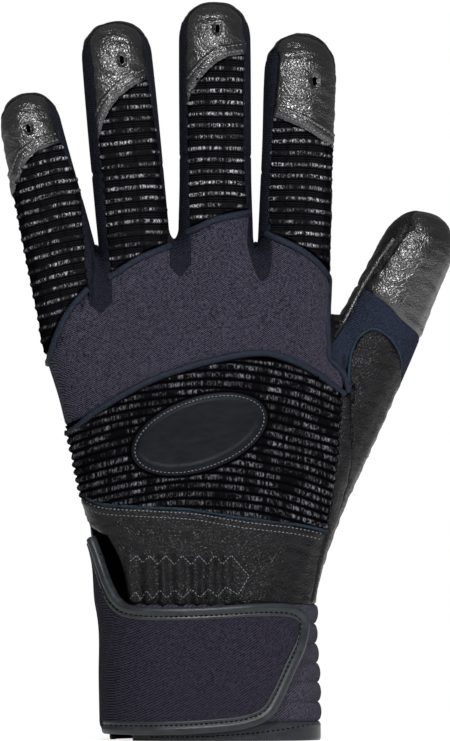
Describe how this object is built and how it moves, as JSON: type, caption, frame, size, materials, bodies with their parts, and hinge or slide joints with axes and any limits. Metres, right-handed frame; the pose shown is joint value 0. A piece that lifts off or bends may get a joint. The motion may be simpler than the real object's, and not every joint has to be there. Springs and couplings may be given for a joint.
{
  "type": "batting glove",
  "caption": "Left-hand batting glove with ribbed knit finger backs, leather palm and fingertip caps, rolled stretch cuff and a bound wrist strap that folds open.",
  "frame": {"origin": "middle of the bounding box footprint, at the cuff rim the glove stands on", "axes": "+Z from the cuff rim to the fingertips, +X to the thumb side, -Y out of the back of the hand, +Y out of the palm"},
  "size_m": [0.1444, 0.051, 0.236],
  "materials": {
    "leather": "smooth black goatskin, soft sheen",
    "rib_knit": "black padded rib knit",
    "spandex": "matt navy stretch knit",
    "neoprene": "matt dark navy knit-faced foam",
    "piping": "folded navy cord",
    "binding": "grey-black synthetic leather tape",
    "elastic": "woven elastic",
    "hook_tape": "hook tape",
    "loop_tape": "brushed loop tape"
  },
  "bodies": {
    "hand": {"little_rib_lower": "rib_knit", "ring_rib_lower": "rib_knit", "middle_rib_lower": "rib_knit", "index_rib_lower": "rib_knit", "little_ring_fourchette": "spandex", "ring_middle_fourchette": "spandex", "middle_index_fourchette": "spandex", "little_piping": "piping", "ring_piping": "piping", "middle_piping": "piping", "index_piping": "piping", "knuckle_piping": "piping", "thumb_crotch_piping": "piping", "back_panel": "spandex", "knuckle_rib_panel": "rib_knit", "oval_patch": "leather", "wrist_leather": "leather", "wrist_elastic": "elastic", "thumb_stretch_band": "spandex", "thumb_base_leather": "leather", "thumb_palm_leather": "leather", "palm_leather": "leather", "edge_leather": "leather", "cuff_back": "neoprene", "cuff_palm": "neoprene", "hem_binding": "binding", "cuff_loop": "loop_tape", "strap_anchor": "neoprene"},
    "little_tip": {"little_cap": "leather", "little_rib_upper": "rib_knit", "little_palm_upper": "leather", "little_right_strip": "spandex"},
    "ring_tip": {"ring_cap": "leather", "ring_rib_upper": "rib_knit", "ring_palm_upper": "leather", "ring_left_strip": "spandex", "ring_right_strip": "spandex"},
    "middle_tip": {"middle_cap": "leather", "middle_rib_upper": "rib_knit", "middle_palm_upper": "leather", "middle_left_strip": "spandex", "middle_right_strip": "spandex"},
    "index_tip": {"index_cap": "leather", "index_rib_upper": "rib_knit", "index_palm_upper": "leather", "index_left_strip": "spandex"},
    "thumb_tip": {"thumb_tip_back": "leather", "thumb_tip_palm": "leather"},
    "strap": {"wrist_strap": "neoprene", "strap_binding": "binding", "strap_hook": "hook_tape"}
  },
  "joints": [
    {"name": "little_bend", "type": "hinge", "parent": "hand", "child": "little_tip", "pos_m": [-0.05663, 0.01268, 0.17084], "axis": [-0.9738, 0, -0.2276], "range_deg": [0, 85], "stiffness_Nm_per_rad": 0.002},
    {"name": "ring_bend", "type": "hinge", "parent": "hand", "child": "ring_tip", "pos_m": [-0.03178, 0.01365, 0.18207], "axis": [-0.9957, 0, -0.0929], "range_deg": [0, 85], "stiffness_Nm_per_rad": 0.002},
    {"name": "middle_bend", "type": "hinge", "parent": "hand", "child": "middle_tip", "pos_m": [-0.00367, 0.01368, 0.18693], "axis": [-1, 0, -0.005], "range_deg": [0, 85], "stiffness_Nm_per_rad": 0.002},
    {"name": "index_bend", "type": "hinge", "parent": "hand", "child": "index_tip", "pos_m": [0.02236, 0.0137, 0.18147], "axis": [-0.9994, 0, 0.0349], "range_deg": [0, 85], "stiffness_Nm_per_rad": 0.002},
    {"name": "thumb_bend", "type": "hinge", "parent": "hand", "child": "thumb_tip", "pos_m": [0.04993, 0.02364, 0.13616], "axis": [-0.6919, 0, 0.722], "range_deg": [0, 60], "stiffness_Nm_per_rad": 0.002},
    {"name": "strap_open", "type": "hinge", "parent": "hand", "child": "strap", "pos_m": [-0.0408, 0.00167, 0.00333], "axis": [0.0817, 0, -0.9967], "range_deg": [0, 120]}
  ]
}
